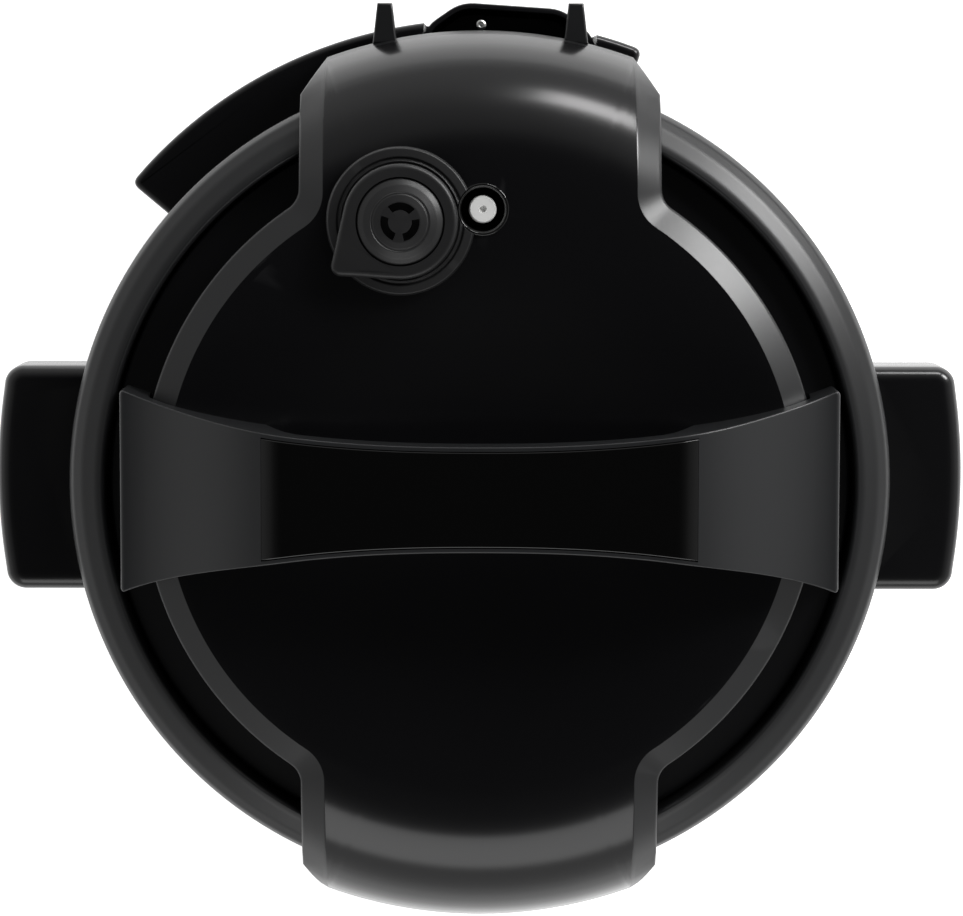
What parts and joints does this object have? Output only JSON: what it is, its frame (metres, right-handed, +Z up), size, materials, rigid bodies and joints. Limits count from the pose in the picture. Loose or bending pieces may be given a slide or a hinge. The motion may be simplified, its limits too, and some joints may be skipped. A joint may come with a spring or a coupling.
{
  "type": "electric pressure cooker",
  "caption": "Round electric pressure cooker with a lift-off lid, bridge handle, steam release valve, side handles, control panel and lift-out inner pot.",
  "frame": {"origin": "centre of the bounding box, on the surface that the feet stand on; the cooker's upright axis is 4.7 mm in front of it", "axes": "+Z up, -Y the front with the control panel, +Y the rear with the valve, mains inlet and condensation cup, X along the lid handle"},
  "size_m": [0.34, 0.3238, 0.3167],
  "materials": {
    "cover_plastic": "satin gloss black",
    "handle_plastic": "satin black",
    "gloss_trim": "mirror gloss black",
    "valve_plastic": "fine matt black",
    "collar_plastic": "satin black",
    "cup_plastic": "smoky black",
    "panel_gloss": "gloss black",
    "display_glass": "dark clear lens",
    "base_plastic": "moulded black",
    "brushed_steel": "brushed",
    "pot_steel": "polished",
    "screw_steel": "plain",
    "float_metal": "anodised",
    "silicone": "translucent white silicone",
    "cast_aluminium": "satin",
    "brass": "plain",
    "circuit_board": "green laminate",
    "button_plastic": "satin dark grey",
    "foot_rubber": "matt"
  },
  "bodies": {
    "base": {"top_collar": "collar_plastic", "collar_ledge": "collar_plastic", "housing_shell": "brushed_steel", "base_pan": "base_plastic", "inner_liner": "cast_aluminium", "heating_plate": "cast_aluminium", "locking_ring": "cast_aluminium", "side_handle_left": "handle_plastic", "side_handle_right": "handle_plastic", "rear_housing": "gloss_trim", "mains_inlet": "base_plastic", "control_panel": "panel_gloss", "display_lens": "display_glass", "display_board": "circuit_board", "main_board": "circuit_board", "pressure_switch": "base_plastic", "thermal_fuse": "brass", "sensor_spring": "screw_steel", "base_screw_1": "screw_steel", "base_screw_2": "screw_steel", "base_screw_3": "screw_steel", "foot_front_left": "foot_rubber", "foot_front_right": "foot_rubber", "foot_rear_left": "foot_rubber", "foot_rear_right": "foot_rubber"},
    "lid": {"lid_cover": "cover_plastic", "lid_handle": "handle_plastic", "handle_insert": "gloss_trim", "lid_plate": "brushed_steel", "lid_screw_left": "screw_steel", "lid_screw_right": "screw_steel", "steam_pipe": "pot_steel", "anti_block_shield": "pot_steel", "float_gasket": "silicone", "valve_base": "valve_plastic", "sealing_ring": "silicone", "sealing_ring_rack": "pot_steel"},
    "steam_lever": {"valve_handle": "valve_plastic"},
    "steam_diffuser": {"valve_diffuser": "valve_plastic"},
    "float": {"float_valve": "float_metal"},
    "interlock": {"interlock_slider": "pot_steel"},
    "pot": {"inner_pot": "pot_steel"},
    "cup": {"condensation_cup": "cup_plastic"},
    "sensor": {"sensor_cap": "cast_aluminium"},
    "button_left_1": {"button_left_1": "button_plastic"},
    "button_left_2": {"button_left_2": "button_plastic"},
    "button_left_3": {"button_left_3": "button_plastic"},
    "button_left_4": {"button_left_4": "button_plastic"},
    "button_right_1": {"button_right_1": "button_plastic"},
    "button_right_2": {"button_right_2": "button_plastic"},
    "button_right_3": {"button_right_3": "button_plastic"},
    "button_right_4": {"button_right_4": "button_plastic"},
    "button_cancel": {"button_cancel": "button_plastic"},
    "button_start": {"button_start": "button_plastic"},
    "button_minus": {"button_minus": "button_plastic"},
    "button_plus": {"button_plus": "button_plastic"}
  },
  "joints": [
    {"name": "lid_lift", "type": "slide", "parent": "base", "child": "lid", "axis": [0, 0, 1], "range_m": [0, 0.36]},
    {"name": "steam_lever_turn", "type": "hinge", "parent": "lid", "child": "steam_lever", "pos_m": [-0.027, 0.0873, 0.289], "axis": [0, 0, 1], "range_deg": [0, 45]},
    {"name": "steam_diffuser_lift", "type": "slide", "parent": "steam_lever", "child": "steam_diffuser", "axis": [0, 0, 1], "range_m": [0, 0.02]},
    {"name": "float_rise", "type": "slide", "parent": "lid", "child": "float", "axis": [0, 0, 1], "range_m": [0, 0.005]},
    {"name": "interlock_slide", "type": "slide", "parent": "lid", "child": "interlock", "axis": [0, -1, 0], "range_m": [0, 0.003], "stiffness_N_per_m": 60},
    {"name": "pot_lift", "type": "slide", "parent": "base", "child": "pot", "axis": [0, 0, 1], "range_m": [0, 0.18]},
    {"name": "cup_slide", "type": "slide", "parent": "base", "child": "cup", "axis": [0.0671, 0.9977, 0], "range_m": [0, 0.04]},
    {"name": "sensor_press", "type": "slide", "parent": "base", "child": "sensor", "axis": [0, 0, 1], "range_m": [-0.003, 0], "stiffness_N_per_m": 600, "springref_m": 0.003, "deforming": ["sensor_spring"]},
    {"name": "button_left_1_press", "type": "slide", "parent": "base", "child": "button_left_1", "axis": [0, 1, 0], "range_m": [0, 0.001], "stiffness_N_per_m": 500},
    {"name": "button_left_2_press", "type": "slide", "parent": "base", "child": "button_left_2", "axis": [0, 1, 0], "range_m": [0, 0.001], "stiffness_N_per_m": 500},
    {"name": "button_left_3_press", "type": "slide", "parent": "base", "child": "button_left_3", "axis": [0, 1, 0], "range_m": [0, 0.001], "stiffness_N_per_m": 500},
    {"name": "button_left_4_press", "type": "slide", "parent": "base", "child": "button_left_4", "axis": [0, 1, 0], "range_m": [0, 0.001], "stiffness_N_per_m": 500},
    {"name": "button_right_1_press", "type": "slide", "parent": "base", "child": "button_right_1", "axis": [0, 1, 0], "range_m": [0, 0.001], "stiffness_N_per_m": 500},
    {"name": "button_right_2_press", "type": "slide", "parent": "base", "child": "button_right_2", "axis": [0, 1, 0], "range_m": [0, 0.001], "stiffness_N_per_m": 500},
    {"name": "button_right_3_press", "type": "slide", "parent": "base", "child": "button_right_3", "axis": [0, 1, 0], "range_m": [0, 0.001], "stiffness_N_per_m": 500},
    {"name": "button_right_4_press", "type": "slide", "parent": "base", "child": "button_right_4", "axis": [0, 1, 0], "range_m": [0, 0.001], "stiffness_N_per_m": 500},
    {"name": "button_cancel_press", "type": "slide", "parent": "base", "child": "button_cancel", "axis": [0, 1, 0], "range_m": [0, 0.001], "stiffness_N_per_m": 500},
    {"name": "button_start_press", "type": "slide", "parent": "base", "child": "button_start", "axis": [0, 1, 0], "range_m": [0, 0.001], "stiffness_N_per_m": 500},
    {"name": "button_minus_press", "type": "slide", "parent": "base", "child": "button_minus", "axis": [0, 1, 0], "range_m": [0, 0.001], "stiffness_N_per_m": 500},
    {"name": "button_plus_press", "type": "slide", "parent": "base", "child": "button_plus", "axis": [0, 1, 0], "range_m": [0, 0.001], "stiffness_N_per_m": 500}
  ],
  "couplings": [
    {"joint": "pot_lift", "follows": "lid_lift", "ratio": 0.5}
  ]
}
